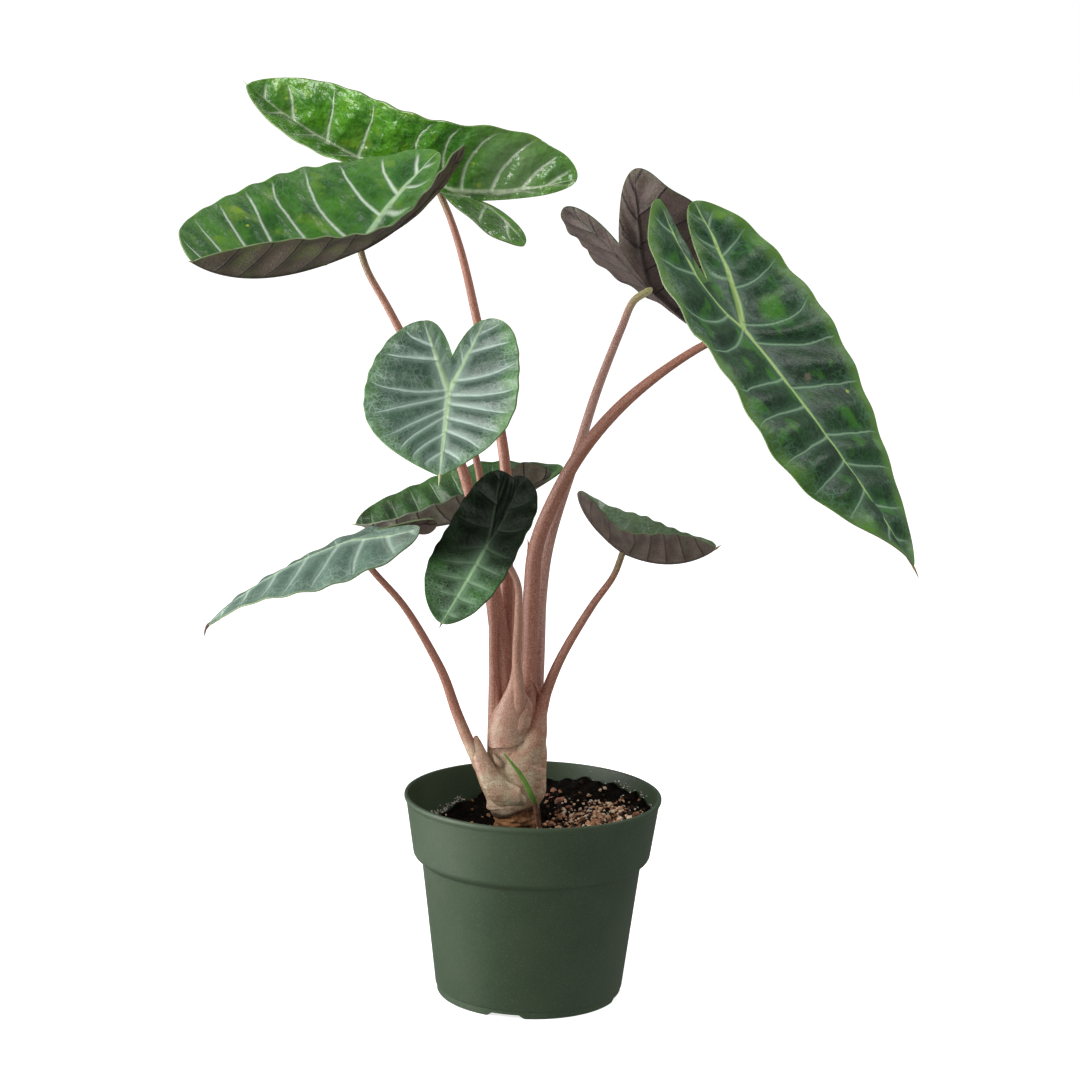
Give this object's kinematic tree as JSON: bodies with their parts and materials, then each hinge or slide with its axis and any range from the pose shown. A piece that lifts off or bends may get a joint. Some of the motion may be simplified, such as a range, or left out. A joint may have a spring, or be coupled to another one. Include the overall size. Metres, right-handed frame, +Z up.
{
  "type": "potted house plant",
  "caption": "Potted aroid house plant: arrow-shaped, pale-veined green leaves with purple-brown undersides on arching pinkish stalks, in a round dark green nursery pot.",
  "frame": {"origin": "centre of the pot's base, on the face of its centre pad", "axes": "+Z up the plant, -Y towards the viewer, +X to the viewer's right"},
  "size_m": [0.4292, 0.2934, 0.5607],
  "materials": {
    "pot": "dark green moulded nursery pot, softly glossy",
    "soil": "damp peat and bark mix with white perlite grains",
    "corm": "rough brown rootstock",
    "stalk": "smooth pink-brown stalks, paler at their sheaths",
    "blade": "quilted green leaf, pale silver veins, purple-brown underside",
    "sprout": "young green shoot"
  },
  "bodies": {
    "root": {"pot": "pot", "soil": "soil", "corm": "corm", "sprout": "sprout", "stalk_high_back": "stalk", "blade_high_back": "blade", "stalk_high_left": "stalk", "blade_high_left": "blade", "stalk_round_front": "stalk", "blade_round_front": "blade", "stalk_big_right": "stalk", "blade_big_right": "blade", "stalk_high_right": "stalk", "blade_high_right": "blade", "stalk_dark_front": "stalk", "blade_dark_front": "blade", "stalk_low_left": "stalk", "blade_low_left": "blade", "stalk_mid_back": "stalk", "blade_mid_back": "blade", "stalk_low_right": "stalk", "blade_low_right": "blade"}
  },
  "joints": []
}
